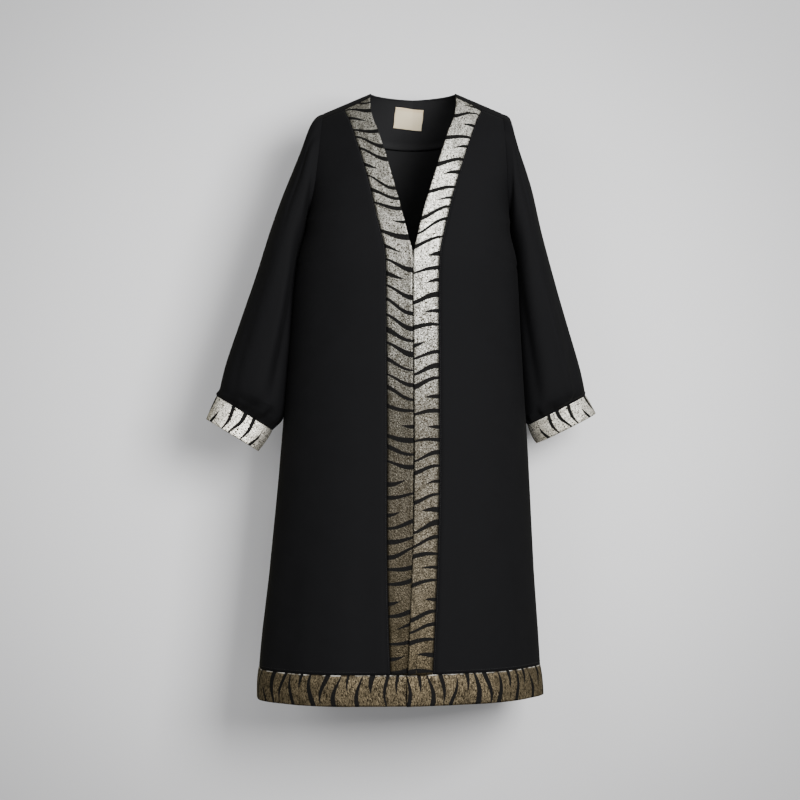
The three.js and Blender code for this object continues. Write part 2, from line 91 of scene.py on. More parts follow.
# Soft folds of the hanging skirt: the angle round the body at the top and at the hem (degrees,
# -90 is centre front), half width (degrees), height where it starts, and depth at the hem (mm).
SKIRT_FOLDS = [
    (-166, -163, 9, -0.42, 2.6), (-147, -143, 10, -0.55, -3.4), (-128, -121, 11, -0.36, 2.2),
    (-111, -108, 6, -0.62, -1.6), (-72, -69, 6, -0.60, -1.4), (-56, -60, 10, -0.40, 2.0),
    (-38, -34, 9, -0.50, -3.2), (-17, -14, 9, -0.38, 2.8),
    (22, 19, 10, -0.40, 3.4), (43, 46, 12, -0.34, -4.6), (66, 63, 9, -0.46, 3.6),
    (88, 92, 12, -0.30, -5.2), (113, 109, 10, -0.44, 3.8), (136, 139, 12, -0.38, -4.4),
    (160, 157, 9, -0.48, 3.0),
]
DARTS = [(-1, 0.186, -0.292, 0.128, -0.270), (1, 0.190, -0.290, 0.130, -0.268)]
DART_DEPTH, DART_WIDTH = 0.0013, 0.0034


def smooth_at(values, position):
    """A smooth curve through a column of values, at positions counted in rows."""
    values = np.asarray(values, float)
    last = len(values) - 1
    i = np.clip(np.floor(position).astype(int), 0, last - 1)
    t = np.clip(position - i, 0, 1)
    a, b, c, d = (values[np.clip(i + k, 0, last)] for k in (-1, 0, 1, 2))
    return 0.5 * (2 * b + (c - a) * t + (2 * a - 5 * b + 4 * c - d) * t ** 2
                  + (3 * b - a - 3 * c + d) * t ** 3)


def by_height(table, name, z):
    """The same for a table whose rows run down in z, in metres."""
    heights = np.asarray(table["z"], float) * MM
    z = np.asarray(z, float)
    i = np.clip(np.searchsorted(-heights, -z, side="right") - 1, 0, len(heights) - 2)
    share = np.clip((heights[i] - z) / (heights[i] - heights[i + 1]), 0, 1)
    value = smooth_at(table[name], i + share)
    return value if name in PLAIN_NUMBERS else value * MM


def body_at(name, z):
    return by_height(BODY_SECTIONS, name, z)


def ramp(start, end, x):
    t = np.clip((np.asarray(x, float) - start) / (end - start), 0, 1)
    return t * t * (3 - 2 * t)


def bell(distance, half_width):
    """1 at the middle of a fold, and nearly nothing past twice its half width."""
    return np.exp(-(distance / half_width) ** 2 * 1.4)


def ridge(x):
    """Height of the shoulder ridge."""
    return NECK_Z - SHOULDER_SLOPE * (np.abs(x) - NECK_HALF)


def shoulder_round(below):
    return np.sqrt(np.maximum(1 - (1 - np.clip(below / SHOULDER_ROUND, 0, 1)) ** 2, 0))


def make_row(level, face):
    """A curve across the coat: below 0 it is level, so far under the armholes; from 0 to 1 it
    rises round the armhole to the shoulder ridge."""
    if level <= 0:
        z = UNDERARM_Z + level
        half = float(body_at("half", z))
        return {"face": face, "height": lambda x: np.full_like(np.asarray(x, float), z),
                "outer": half, "half": half, "square": float(body_at("square", z))}
    angle = math.pi * level
    drop = (1 + math.cos(angle)) / 2

    def height(x):
        x = np.asarray(x, float)
        neck = BACK_NECK_Z + (NECK_Z - BACK_NECK_Z) * (x / NECK_HALF) ** 2
        top = np.where((face > 0) & (np.abs(x) < NECK_HALF), neck, ridge(x))
        return top + (UNDERARM_Z - top) * drop

    outer = (SHOULDER_HALF + ARMHOLE_LEAN * drop
             + (UNDERARM_HALF - SHOULDER_HALF - ARMHOLE_LEAN) * drop ** 6)
    z = float(height(outer))
    square = float(body_at("square", z))
    full = float(body_at(face, z) * shoulder_round(ridge(outer) - z))
    reach = ARMHOLE_DEPTH[face] * math.sin(angle)
    share = min(reach / full, LARGEST_SHARE) if full > 1e-6 else RIDGE_SHARE
    half = outer / (1 - share ** square) ** (1 / square)
    return {"face": face, "height": height, "outer": outer, "half": half, "square": square}


def fold_depth(x, y, z):
    """How far the skirt's soft folds and the bust darts move the cloth outwards."""
    around = np.degrees(np.arctan2(y / body_at(-1, z), x / body_at("half", z)))
    depth = np.zeros_like(z)
    for top, low, width, start, size in SKIRT_FOLDS:
        share = np.clip((start - z) / (start - HEM_Z), 0, 1)
        centre = top + (low - top) * share
        away = (around - centre + 180) % 360 - 180
        depth += size * MM * share ** 1.3 * bell(away, width)
    for side, from_x, from_z, to_x, to_z in DARTS:
        run = np.array([to_x - from_x, to_z - from_z])
        length = np.hypot(*run)
        run = run / length
        px, pz = side * x - from_x, z - from_z
        along = px * run[0] + pz * run[1]
        across = -px * run[1] + pz * run[0]
        share = np.clip(along / length, 0, 1)
        fade = np.where((y < 0) & (along > -0.02), (1 - share) ** 0.8, 0)
        depth -= DART_DEPTH * fade * bell(across, DART_WIDTH)
        depth += 0.6 * DART_DEPTH * fade * bell(across + 2.2 * DART_WIDTH, 1.6 * DART_WIDTH)
    return depth


def body_points(row, x):
    """Points of a row before the cloth drifts and turns."""
    x = np.asarray(x, float)
    z = row["height"](x)
    share = np.minimum(np.abs(x) / row["half"], 1)
    across = (1 - share ** row["square"]) ** (1 / row["square"])
    deep = body_at(row["face"], z)
    y = row["face"] * deep * shoulder_round(ridge(x) - z) * across
    out = np.stack([np.sign(x) * share ** (row["square"] - 1) / row["half"],
                    row["face"] * across ** (row["square"] - 1) / deep], axis=-1)
    out /= np.linalg.norm(out, axis=-1, keepdims=True) + 1e-9
    push = fold_depth(x, y, z)
    return np.stack([x + out[..., 0] * push, y + out[..., 1] * push, z], axis=-1)


def hang(points):
    """The hanging cloth drifts to one side and turns a little, more towards the hem."""
    x, y, z = np.moveaxis(points, -1, 0)
    turn = np.radians(body_at("turn", z))
    return np.stack([x * np.cos(turn) - y * np.sin(turn) + body_at("drift", z),
                     x * np.sin(turn) + y * np.cos(turn), z], axis=-1)


# The free edge of a front and the seam of its band, out from the centre (mm).
FRONT_EDGES = {
    "z": [30, 12, -6, -26, -48, -95, -150, -210, -240, -265, -282, -326],
    "edge": [79, 78.5, 77.5, 73.5, 64.5, 49.5, 33.5, 17, 9.5, 3.2, 0.4, 0.4],
    "seam": [131, 128, 126, 117, 109, 94, 78, 64, 56.5, 50.5, 48.4, 47.4],
}
LAP_START_Z, LAP_AT_HEM, LAP_LIFT = -0.700, 0.012, 0.00135
LAP_FADE_Z, LAP_FADE_X = (-0.430, -0.640), (0.120, 0.060)
RAIL_ROUNDS = 12


def front_rails(row):
    """Where a row crosses a front's free edge and the seam of its band."""
    rails = []
    for name in ("edge", "seam"):
        x = by_height(FRONT_EDGES, name, row["height"](NECK_HALF))
        for _ in range(RAIL_ROUNDS):
            x = by_height(FRONT_EDGES, name, row["height"](x))
        z = row["height"](x)
        lap = LAP_AT_HEM * max(float((LAP_START_Z - z) / (LAP_START_Z - HEM_Z)), 0) ** 1.7
        rails.append(float(x) - lap)
    return rails


PANEL_STEPS, BAND_STEPS, NECK_STEPS = 36, 12, 30
HALF_STEPS = PANEL_STEPS + BAND_STEPS + NECK_STEPS
LOWER_ROWS, HEM_ROWS, ARM_ROWS, FRONT_ARM_ROWS = 150, 15, 61, 51
LOWER_LEVELS = np.linspace(BORDER_SEAM_Z - UNDERARM_Z, 0, LOWER_ROWS)
HEM_LEVELS = np.linspace(HEM_Z - UNDERARM_Z, BORDER_SEAM_Z - UNDERARM_Z, HEM_ROWS)
ARM_LEVELS = np.linspace(0, 1, ARM_ROWS)[1:]


def crowd(share):
    """Places from 0 to 1, closer together towards 1."""
    return np.sin(np.asarray(share) * math.pi / 2) ** 0.87


def front_columns(row):
    edge, seam = front_rails(row)
    panel = seam + (row["outer"] - seam) * crowd(1 - np.arange(PANEL_STEPS + 1) / PANEL_STEPS)
    band = seam + (edge - seam) * np.arange(1, BAND_STEPS + 1) / BAND_STEPS
    return np.concatenate([panel, band])


# The doubled bands are stiff, so the fronts stand out in a soft ridge where they meet.
EDGE_STAND, EDGE_STAND_WIDTH = 0.0052, 0.090


def front_grid(side, levels):
    """Rows from low to high, columns from side seam to free edge; side is -1 on the right."""
    grid = []
    for level in levels:
        row = make_row(level, -1)
        x = front_columns(row)
        p = body_points(row, x)
        p[:, 1] = np.where(x < 0, body_points(row, np.abs(x))[:, 1], p[:, 1])
        lift = ramp(*LAP_FADE_Z, p[:, 2]) * ramp(*LAP_FADE_X, x) * LAP_LIFT
        stand = EDGE_STAND * np.clip(1 - (x - x[-1]) / EDGE_STAND_WIDTH, 0, 1) ** 2
        stand = stand * ramp(NECK_Z - 0.02, NECK_Z - 0.16, p[:, 2])
        y = p[:, 1] - side * lift - stand
        grid.append(hang(np.stack([side * p[:, 0], y, p[:, 2]], axis=-1)))
    return np.array(grid)


def back_grid(levels):
    """The back from side seam to side seam; on the ridge it meets the fronts' own columns."""
    ridge_row = make_row(1, -1)
    neck = NECK_HALF * (1 - np.arange(1, NECK_STEPS + 1) / NECK_STEPS)
    top = np.concatenate([front_columns(ridge_row), neck])
    even = crowd(1 - np.arange(HALF_STEPS + 1) / HALF_STEPS)
    grid = []
    for level in levels:
        row = make_row(level, 1)
        share = ramp(0, 1, max(level, 0))
        x = row["outer"] * even * (1 - share) + top * share
        x[0] = row["outer"]
        x = np.concatenate([-x, x[-2::-1]])
        grid.append(hang(body_points(row, x)))
    return np.array(grid)


def grid_normals(grid, outwards):
    """outwards is a point inside, or several, that the normals point away from."""
    along = np.gradient(grid, axis=0)
    across = np.gradient(grid, axis=1)
    n = np.cross(across, along)
    n /= np.linalg.norm(n, axis=-1, keepdims=True) + 1e-12
    if np.sum(n * (grid - outwards)) < 0:
        n = -n
    return n


def move_out(grid, inside, distance):
    """Moves a cloth's points outwards, and keeps the two edges of a closed tube together."""
    normals = grid_normals(grid, inside)
    if np.array_equal(grid[:, 0], grid[:, -1]):
        normals[:, -1] = normals[:, 0]
    return grid + normals * np.asarray(distance)[..., None]


def lengths(grid, axis):
    """Distance run along each line of a grid, for the cloth's own coordinates."""
    steps = np.linalg.norm(np.diff(grid, axis=axis), axis=-1)
    zero = np.zeros_like(np.take(steps, [0], axis=axis))
    return np.concatenate([zero, np.cumsum(steps, axis=axis)], axis=axis)


def lengths_back(grid, axis):
    """The same, from the far end of each line."""
    return np.flip(lengths(np.flip(grid, axis), axis), axis)


def add_object(name, data):
    thing = bpy.data.objects.new(name, data)
    bpy.context.scene.collection.objects.link(thing)
    return thing


def cloth(name, layers, material, wall, inner_material=None):
    """A sheet of cloth from one or more grids. Each layer is (grid, uv, inside point); shared
    edges are joined, faces point outwards and the wall is added inwards."""
    points, faces, coordinates = [], [], []
    for grid, uv, inside in layers:
        rows, columns = grid.shape[:2]
        start = len(points)
        points.extend(grid.reshape(-1, 3).tolist())
        n = np.cross(np.gradient(grid, axis=1), np.gradient(grid, axis=0))
        forwards = np.sum(n * (grid - inside)) > 0
        flat_uv = uv.reshape(-1, 2)
        for j in range(rows - 1):
            for i in range(columns - 1):
                a = j * columns + i
                quad = [a, a + 1, a + columns + 1, a + columns]
                if not forwards:
                    quad.reverse()
                faces.append([start + k for k in quad])
                coordinates.extend(flat_uv[quad])
    mesh = bpy.data.meshes.new(name)
    mesh.from_pydata(points, [], faces)
    layer = mesh.uv_layers.new(name="cloth")
    layer.data.foreach_set("uv", np.asarray(coordinates, float).ravel())
    work = bmesh.new()
    work.from_mesh(mesh)
    bmesh.ops.remove_doubles(work, verts=work.verts, dist=2e-5)
    work.to_mesh(mesh)
    work.free()
    mesh.polygons.foreach_set("use_smooth", [True] * len(mesh.polygons))
    mesh.materials.append(material)
    piece = add_object(name, mesh)
    solidify = piece.modifiers.new("wall", "SOLIDIFY")
    solidify.thickness = wall
    solidify.offset = -1
    solidify.use_even_offset = True
    solidify.thickness_clamp = 1.0
    if inner_material:
        mesh.materials.append(inner_material)
        solidify.material_offset = 1
    return piece


def feed(node, inputs):
    """Gives a node's inputs their values or links."""
    for key, value in inputs.items():
        if isinstance(value, bpy.types.NodeSocket):
            node.id_data.links.new(value, node.inputs[key])
        else:
            node.inputs[key].default_value = value


def put(tree, kind, inputs=None, **settings):
    """Adds a node to a tree."""
    node = tree.nodes.new(kind)
    for key, value in settings.items():
        setattr(node, key, value)
    feed(node, inputs or {})
    return node


def calc(operation, *values, clamp=False):
    """A step of arithmetic, in the tree that its values belong to."""
    tree = next(value.id_data for value in values if isinstance(value, bpy.types.NodeSocket))
    return put(tree, "ShaderNodeMath", dict(enumerate(values)), operation=operation,
               use_clamp=clamp).outputs[0]


times, plus, minus = partial(calc, "MULTIPLY"), partial(calc, "ADD"), partial(calc, "SUBTRACT")
times_plus = partial(calc, "MULTIPLY_ADD")


def grade(value, start, end, low=0.0, high=1.0, kind="LINEAR"):
    """Goes from low to high while a value goes from start to end."""
    return put(value.id_data, "ShaderNodeMapRange",
               {"Value": value, "From Min": start, "From Max": end, "To Min": low,
                "To Max": high}, interpolation_type=kind).outputs[0]


def blend_colour(share, first, second):
    mix = put(share.id_data, "ShaderNodeMix", {"Factor": share}, data_type="RGBA")
    feed(mix, {number: (*value, 1) if isinstance(value, tuple) else value
               for number, value in ((6, first), (7, second))})
    return mix.outputs[2]


def stretch(vector, x, y=1.0):
    """Coordinates scaled in x and y, which draws a pattern on them out or together."""
    tree = vector.id_data
    scale = put(tree, "ShaderNodeCombineXYZ", {"X": x, "Y": y, "Z": 1.0}).outputs[0]
    return put(tree, "ShaderNodeVectorMath", {0: vector, 1: scale}, operation="MULTIPLY").outputs[0]


def noise(vector, scale, detail, roughness, distortion=0.0):
    return put(vector.id_data, "ShaderNodeTexNoise",
               {"Vector": vector, "Scale": scale, "Detail": detail, "Roughness": roughness,
                "Distortion": distortion}).outputs[0]


def bump(height, strength, distance):
    return put(height.id_data, "ShaderNodeBump",
               {"Strength": strength, "Distance": distance, "Height": height}).outputs[0]


def new_material(name):
    """An empty material, with its tree and its shader."""
    material = bpy.data.materials.new(name)
    material.use_nodes = True
    return material, material.node_tree, material.node_tree.nodes["Principled BSDF"]


def shader_group(name, inputs, outputs):
    """An empty node group. An input is a number with its value, or a vector where it is None."""
    group = bpy.data.node_groups.new(name, "ShaderNodeTree")
    for label, value in inputs.items():
        kind = "NodeSocketVector" if value is None else "NodeSocketFloat"
        socket = group.interface.new_socket(name=label, in_out="INPUT", socket_type=kind)
        if value is not None:
            socket.default_value = value
    for label in outputs:
        group.interface.new_socket(name=label, in_out="OUTPUT", socket_type="NodeSocketFloat")
    return group, group.nodes.new("NodeGroupInput").outputs, group.nodes.new("NodeGroupOutput")


# The grain that all the cloths share: crimped threads, and slow unevenness over a hand's width.
UNEVEN_SCALE = 22.0
grain, grain_in, grain_out = shader_group(
    "thread grain", {"Cloth": None, "Thread": 0.0007, "Slub": 2.0}, ("Height", "Unevenness"))
feed(grain_out, {"Height": noise(stretch(grain_in["Cloth"], grain_in["Slub"]),
                                 calc("DIVIDE", 1.0, grain_in["Thread"]), 3.0, 0.65),
                 "Unevenness": noise(grain_in["Cloth"], UNEVEN_SCALE, 4.0, 0.6)})

CREPE_DARK, CREPE_LIGHT, CREPE_SHEEN = (0.0034, 0.0034, 0.0038), (0.0082, 0.0082, 0.0090), 0.008
# The wrong side's tones are partly the crepe's paler wrong side and partly painted fill light, which
# lightens the shaded hollow inside the coat.
WRONG_SIDE_DARK_WITH_PAINTED_FILL, WRONG_SIDE_PALE_WITH_PAINTED_FILL = (0.015, 0.015, 0.0157), (0.029, 0.029, 0.0303)


def crepe(name, dark, light, sheen):
    """Matt black crepe; its wrong side is paler, partly its own colour and partly painted light for
    the shaded hollow inside the coat, and has no sheen.
    """
    material, tree, shader = new_material(name)
    threads = put(tree, "ShaderNodeGroup",
                  {"Cloth": put(tree, "ShaderNodeUVMap", uv_map="cloth").outputs[0],
                   "Thread": 0.0010, "Slub": 1.7}, node_tree=grain).outputs
    uneven = times_plus(threads["Unevenness"], 0.5, -0.2)
    tone = times_plus(threads["Height"], 0.9, uneven, clamp=True)
    feed(shader, {"Base Color": blend_colour(tone, dark, light),
                  "Roughness": times_plus(threads["Unevenness"], 0.16, 0.66),
                  "Normal": bump(threads["Height"], 0.35, 0.0005),
                  "Sheen Weight": sheen, "Sheen Roughness": 0.40, "Specular IOR Level": 0.05})
    return material


crepe_cloth = crepe("black crepe", CREPE_DARK, CREPE_LIGHT, CREPE_SHEEN)
# The wrong side, painted paler: part of its lightness is painted fill light for the inside of the
# back and the neck facing.
wrong_side_crepe_with_painted_fill = crepe("black crepe, wrong side", WRONG_SIDE_DARK_WITH_PAINTED_FILL, WRONG_SIDE_PALE_WITH_PAINTED_FILL, 0.0)


def cloth_uv(grid):
    return np.stack([lengths(grid, 1), lengths(grid, 0)], axis=-1)


def axis_points(grid):
    """Points on the coat's middle line, level with each point of a grid."""
    z = grid[..., 2]
    return np.stack([body_at("drift", z), np.zeros_like(z), np.minimum(z, UNDERARM_Z)], axis=-1)


# How deep cloth dips into a seam, and how far from it the dip reaches.
SEAM_DIP, SEAM_REACH = 0.0007, 0.0055


def dip(distance):
    return -SEAM_DIP * np.exp(-(distance / SEAM_REACH) ** 1.2 * 2.2)


OVER_SHOULDER_ROWS = 13           # the rows from the ridge down to the forward shoulder seam
back = back_grid(np.concatenate([LOWER_LEVELS, ARM_LEVELS]))
back_layers = [(back, cloth_uv(back), axis_points(back))]
for side in (-1, 1):
    over = front_grid(side, np.linspace(SEAM_LEVEL, 1, OVER_SHOULDER_ROWS))
    back_layers.append((over, cloth_uv(over), axis_points(over)))
back_piece = cloth("back_panel", back_layers, crepe_cloth, CREPE_WALL, wrong_side_crepe_with_painted_fill)
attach(back_piece, "root")
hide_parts("back")


# ---- Fronts ------------------------------------------------------------------------------------
# Two lengths of the same crepe, with a bust dart each. They reach from the side seam to the seam
# of the metallic band, and from the forward shoulder seam to the band at the hem.

front_levels = np.concatenate([LOWER_LEVELS,
                               np.linspace(0, SEAM_LEVEL, FRONT_ARM_ROWS)[1:]])
front_grids = {"right": front_grid(-1, front_levels), "left": front_grid(1, front_levels)}
for side_name, whole in front_grids.items():
    panel = whole[:, :PANEL_STEPS + 1]
    panel = move_out(panel, axis_points(panel),
                     dip(lengths_back(panel, 1)) + dip(lengths_back(panel, 0)))
    piece = cloth(f"front_panel_{side_name}", [(panel, cloth_uv(panel), axis_points(panel))],
                  crepe_cloth, CREPE_WALL)
    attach(piece, "root")
    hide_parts(f"front_{side_name}")


# ---- Sleeves -----------------------------------------------------------------------------------
# Full sleeves of crepe, set into the armholes with a little ease at the head, and gathered into
# the cuffs, so that the cloth blouses over them. Each lies along the side of the body.

SLEEVE_SECTIONS = {
    "inX": [190, 189.5, 189.5, 191.5, 200, 205.5, 209.5, 214, 219, 222.5, 227, 238, 248, 259],
    "inZ": [-212, -215.5, -224, -243, -284, -342, -400, -460, -520, -558, -579, -593, -613, -632],
    "outX": [166, 182, 196, 210, 234.5, 255, 278, 305, 329, 338, 340.5, 341, 351, 362],
    "outZ": [-7, -15, -38, -80, -151, -225, -312, -395, -468, -508, -525, -533, -553, -573],
    "front": [64, 68, 71, 73, 74, 74, 72, 68, 62, 56, 44, 28, 27, 28],
    "back": [61, 64, 68, 71, 73, 74, 73, 70, 64, 57, 41, 26, 25, 26],
    "lie": [0, 1, 3, 5, 8, 10, 11, 11, 10, 9, 8, 7, 6, 5],
}
CUFF_SECTION = 11
SLEEVE_REST = 0.0002              # a sleeve lies this far off the side of the body
SLEEVE_FULLNESS = 0.82            # below 1 the section is fuller than round
# How much further out each sleeve reaches at a height (mm).
SLEEVE_REACH = {
    "z": [-7, -40, -110, -225, -312, -395, -468, -533, -580, -640],
    "right": [0, -1, -1, 0, 1, 1.5, 2, 4, 3, 9],
    "left": [0, -8, -7, -3, 2, 1, 0, 2, 1, -2],
}
REACH_STATIONS = (9.3, CUFF_SECTION)
CUFF_LIFT = {"right": -0.003, "left": 0.007}
# How a cuff's ends are set off (mm, outwards and up): its inner and outer end, each at the seam
# and at the mouth.
CUFF_SET = {"right": (((4.5, -5.5), (5.5, -1.5)), ((6, -1.5), (4.5, -1.5))),
            "left": (((-4.5, 4), (-4.5, 1.5)), ((2, 0), (3, -1.5)))}
CUFF_BACK = {"right": 0.0, "left": 0.011}
AROUND_STEPS = 144
ARMHOLE_FADE = 0.8
# Folds of the sleeves: the place round the arm (0 underarm, 6 front, 12 outside, 18 behind) at
# its start and its end, where it starts and ends down the arm, depth out or in (mm) and half
# width (in the same twenty-fourths of a turn).
SLEEVE_FOLDS = {
    "right": [
        (8.4, 7.2, 0.05, 4.6, -4.5, 0.55), (9.9, 9.4, 0.02, 4.0, 3.0, 0.7),
        (11.1, 10.9, 0.02, 3.2, -3.0, 0.6), (13.6, 13.9, 0.05, 3.6, -3.4, 0.7),
        (16.6, 17.4, 0.10, 5.4, -4.0, 0.8),
        (2.6, 4.4, 3.6, 9.2, -8.0, 1.0), (4.6, 6.2, 4.4, 9.8, 3.0, 0.9),
        (8.8, 8.2, 5.0, 10.2, -2.2, 0.8), (21.4, 20.6, 4.4, 9.6, -6.0, 1.0),
        (18.4, 18.0, 5.6, 10.2, 3.0, 0.9),
    ],
    "left": [
        (8.2, 7.0, 0.05, 4.8, -5.0, 0.55), (9.6, 9.2, 0.02, 4.4, 3.2, 0.6),
        (10.9, 10.6, 0.02, 3.8, -3.4, 0.55), (13.4, 13.8, 0.05, 3.4, -3.2, 0.7),
        (16.2, 17.0, 0.10, 5.0, -4.0, 0.8),
        (2.8, 4.0, 4.4, 9.4, -5.5, 1.0), (6.9, 7.4, 5.6, 10.6, 3.6, 0.6),
        (8.9, 8.3, 5.6, 10.4, -2.4, 0.8), (20.6, 20.2, 4.2, 9.2, -6.0, 1.0),
        (17.8, 17.6, 5.4, 10.0, 3.0, 0.9),
    ],
}
# Short pleats where a sleeve is gathered into its cuff, from above the cuff down to it.
GATHERS = {
    "right": [(1.3, 9.7, -3.6), (2.6, 9.5, 2.6), (3.8, 8.9, -4.6), (4.9, 9.4, 3.4),
              (6.0, 9.1, -4.8), (7.1, 9.7, 3.0), (8.3, 9.6, -2.8), (9.6, 9.9, 2.4),
              (11.0, 9.7, -3.2), (12.6, 9.8, 2.6), (14.1, 9.4, -4.2), (15.6, 9.5, 3.2),
              (17.2, 9.0, -4.8), (18.7, 9.5, 3.4), (20.1, 9.2, -4.4), (21.6, 9.6, 3.0),
              (23.0, 9.5, -3.4)],
    "left": [(1.2, 9.6, -3.4), (2.4, 9.6, 2.8), (3.5, 9.0, -4.6), (4.4, 9.5, 3.2),
             (5.4, 9.2, -4.6), (6.5, 9.6, 3.2), (7.8, 9.5, -3.0), (9.2, 9.8, 2.6),
             (10.8, 9.7, -3.0), (12.4, 9.8, 2.6), (14.0, 9.4, -4.0), (15.4, 9.6, 3.0),
             (17.0, 9.1, -4.6), (18.4, 9.5, 3.2), (19.9, 9.2, -4.6), (21.5, 9.6, 3.2),
             (22.9, 9.6, -3.2)],
}
GATHER_WIDTH, GATHER_END = 0.55, 11.0


def body_side(y, z):
    """How far the side of the body stands out, under the armholes."""
    share = np.minimum(np.abs(y) / np.where(y < 0, body_at(-1, z), body_at(1, z)), 1)
    square = body_at("square", z)
    side = body_at("half", z) * (1 - share ** square) ** (1 / square)
    return np.where(z > UNDERARM_Z, 0, side)


def armhole_loop(side, turns):
    """The body's edge round an armhole, at each place round the arm (0 to 24)."""
    loop = []
    for c in turns:
        front = c <= 12
        row = make_row((c if front else 24 - c) / 12, -1 if front else 1)
        p = body_points(row, np.array([row["outer"]]))[0]
        loop.append([side * p[0], p[1], p[2]])
    return hang(np.array(loop))


def ring(side_name, station, turns):
    side = -1 if side_name == "right" else 1
    at = {k: float(smooth_at(v, np.float64(station))) * MM for k, v in SLEEVE_SECTIONS.items()}
    share = float(ramp(*REACH_STATIONS, station))
    mouth = max(station - CUFF_SECTION, 0) / 2
    reach_in = float(by_height(SLEEVE_REACH, side_name, at["inZ"])) * share
    reach_out = float(by_height(SLEEVE_REACH, side_name, at["outZ"]))
    inner = np.array([at["inX"] + reach_in, 0, at["inZ"]])
    outer = np.array([at["outX"] + reach_out, 0, at["outZ"]])
    for end, ((seam_x, seam_z), (mouth_x, mouth_z)) in zip((inner, outer), CUFF_SET[side_name]):
        end[0] += (seam_x + (mouth_x - seam_x) * mouth) * share * MM
        end[2] += (seam_z + (mouth_z - seam_z) * mouth) * share * MM
    middle = (inner + outer) / 2
    angle = np.pi * turns / 12
    fullness = 1 + (SLEEVE_FULLNESS - 1) * float(ramp(0.2, 2.0, station) * (1 - share))
    over = np.sign(np.cos(angle)) * np.abs(np.cos(angle)) ** fullness
    p = middle + (inner - middle) * over[:, None]
    deep = np.where(np.sin(angle) > 0, at["front"], at["back"])
    p[:, 1] = at["lie"] - deep * np.sin(angle) + CUFF_BACK[side_name] * mouth
    p[:, 2] += CUFF_LIFT[side_name] * mouth
    away = p - middle
    away /= np.linalg.norm(away, axis=-1, keepdims=True)
    depth = np.zeros_like(turns)
    for start, end, top, low, size, width in SLEEVE_FOLDS[side_name]:
        along = (station - top) / (low - top)
        if 0 < along < 1:
            centre = start + (end - start) * along
            gap = (turns - centre + 12) % 24 - 12
            depth += size * MM * math.sin(math.pi * along) ** 0.8 * bell(gap, width)
    for centre, top, size in GATHERS[side_name]:
        along = (station - top) / (GATHER_END - top)
        if 0 < along < 1:
            gap = (turns - centre + 12) % 24 - 12
            swell = math.sin(math.pi * along ** 1.25) ** 0.9
            depth += size * MM * swell * bell(gap, GATHER_WIDTH)
    p = p + away * depth[:, None]
    rest = body_side(p[:, 1], p[:, 2]) + SLEEVE_REST
    p[:, 0] = np.maximum(p[:, 0], rest)
    return hang(np.stack([side * p[:, 0], p[:, 1], p[:, 2]], axis=-1))


def sleeve_grid(side_name, stations):
    side = -1 if side_name == "right" else 1
    turns = np.linspace(0, 24, AROUND_STEPS + 1)
    rings = [ring(side_name, s, turns) for s in stations]
    if stations[0] == 0:
        off = armhole_loop(side, turns) - ring(side_name, 0, turns)
        for k, s in enumerate(stations):
            rings[k] = rings[k] + off * max(1 - s / ARMHOLE_FADE, 0) ** 1.5
    grid = np.array(rings)
    grid[:, -1] = grid[:, 0]
    return grid


def arm_middle(grid):
    return np.repeat(grid[:, :-1].mean(axis=1, keepdims=True), grid.shape[1], axis=1)


SLEEVE_STATIONS = np.concatenate([np.linspace(0, 1, 15), np.linspace(1, 8, 71)[1:],
                                  np.linspace(8, 11, 46)[1:]])
for side_name in ("right", "left"):
    tube = sleeve_grid(side_name, SLEEVE_STATIONS)
    tube = move_out(tube, arm_middle(tube), dip(lengths(tube, 0)) + dip(lengths_back(tube, 0)))
    piece = cloth(f"sleeve_{side_name}_cloth", [(tube, cloth_uv(tube), arm_middle(tube))],
                  crepe_cloth, CREPE_WALL)
    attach(piece, "root")
    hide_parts(f"sleeve_{side_name}_upper", f"sleeve_{side_name}_lower")


# ---- Front bands -------------------------------------------------------------------------------
# Bands of metallic cloth, folded at the free edge and sewn to the fronts. The cloth has a
# crackled foil face, silver above and gilded towards the hem, with dark woven tiger strokes.

BAND_WIDTH = 0.047
BAND_WALL = 0.0013
BAND_PUFF = 0.0009                # the doubled cloth stands a little proud between its edges
FOLD_RISE, FOLD_REACH = 0.0030, 0.018

strokes, get, strokes_out = shader_group(
    "tiger strokes",
    {"Across": 0.0, "Along": 0.0, "Pitch": 0.025, "Lean": 0.0, "Bow": 0.003,
     "Thickness": 0.009, "Reach": 1.5, "Swing": 0.7, "Short": 0.75, "Seed": 0.0}, ("Mask",))

WANDER_SCALE, WANDER_SIZE, DRAW_STEP = 14.0, 0.012, 17.3
# Where strokes end, in widths of the band: how much it varies, and the least.
SHORT_ENDS, LONG_ENDS = (0.30, 0.44), (0.3, 0.85)
EDGE_SHARPNESS, THINNEST = 32.0, 0.008

# A stroke lies flat at both edges of the band and leans between them, like a drawn-out S.
centred = minus(get["Across"], 0.5)
s_curve = times(calc("SINE", times(centred, math.pi)), 0.5)
wave = calc("COSINE", times(centred, 3.6))
slanted = times(plus(s_curve, centred), 0.5)
shift = times_plus(get["Lean"], slanted, times(get["Bow"], wave))
wander = put(strokes, "ShaderNodeTexNoise",
             {"W": times_plus(get["Along"], WANDER_SCALE, get["Seed"]), "Scale": 1.0,
              "Detail": 1.0},
             noise_dimensions="1D").outputs[0]
wandered = plus(get["Along"], times(wander, WANDER_SIZE))
place = calc("DIVIDE", minus(wandered, shift), get["Pitch"])
cell = calc("FLOOR", place)
within = minus(minus(place, cell), 0.5)
draw = [put(strokes, "ShaderNodeTexWhiteNoise",
            {"W": plus(cell, plus(get["Seed"], DRAW_STEP * (number + 1)))},
            noise_dimensions="1D").outputs["Value"] for number in range(5)]
odd = calc("GREATER_THAN", calc("FRACT", times(cell, 0.5)), 0.25)
# Neighbours mostly start from opposite edges.
other_side = calc("GREATER_THAN", times_plus(minus(odd, 0.5), 0.7, draw[1]), 0.5)
from_side = calc("ABSOLUTE", minus(get["Across"], other_side))
